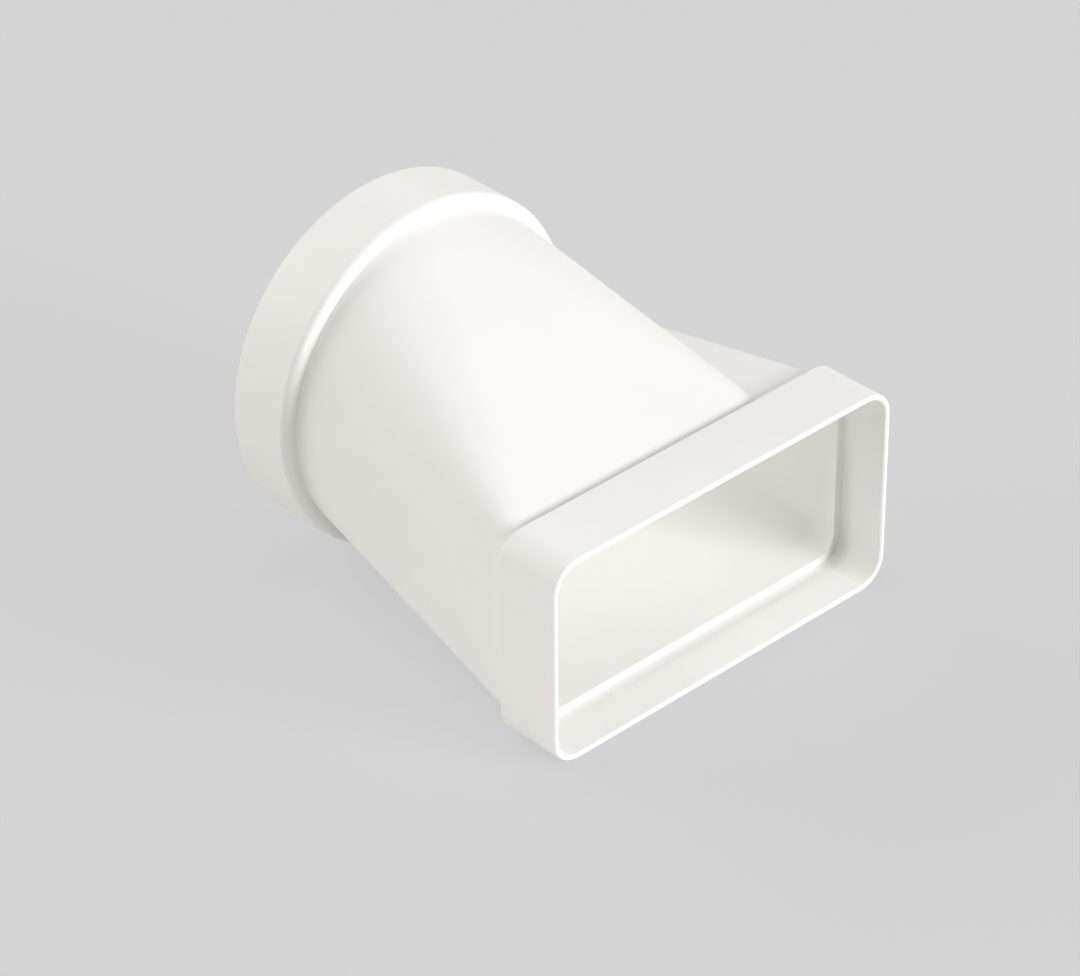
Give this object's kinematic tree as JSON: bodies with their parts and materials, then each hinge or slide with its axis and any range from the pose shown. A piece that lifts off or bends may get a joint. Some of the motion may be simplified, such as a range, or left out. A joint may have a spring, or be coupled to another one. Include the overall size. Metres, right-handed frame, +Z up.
{
  "type": "duct adapter",
  "caption": "Moulded eccentric duct adapter: a flat rectangular socket blends into a round socket, flush underneath and along one narrow side.",
  "frame": {"origin": "on the floor, under the middle of the part's bounding box", "axes": "+Z up; flow along Y, with the flat mouth facing -Y and the round mouth facing +Y; the flush side is -X"},
  "size_m": [0.1236, 0.123, 0.1032],
  "materials": {
    "white_plastic": "satin moulded white"
  },
  "bodies": {
    "root": {"duct_adapter": "white_plastic"}
  },
  "joints": []
}
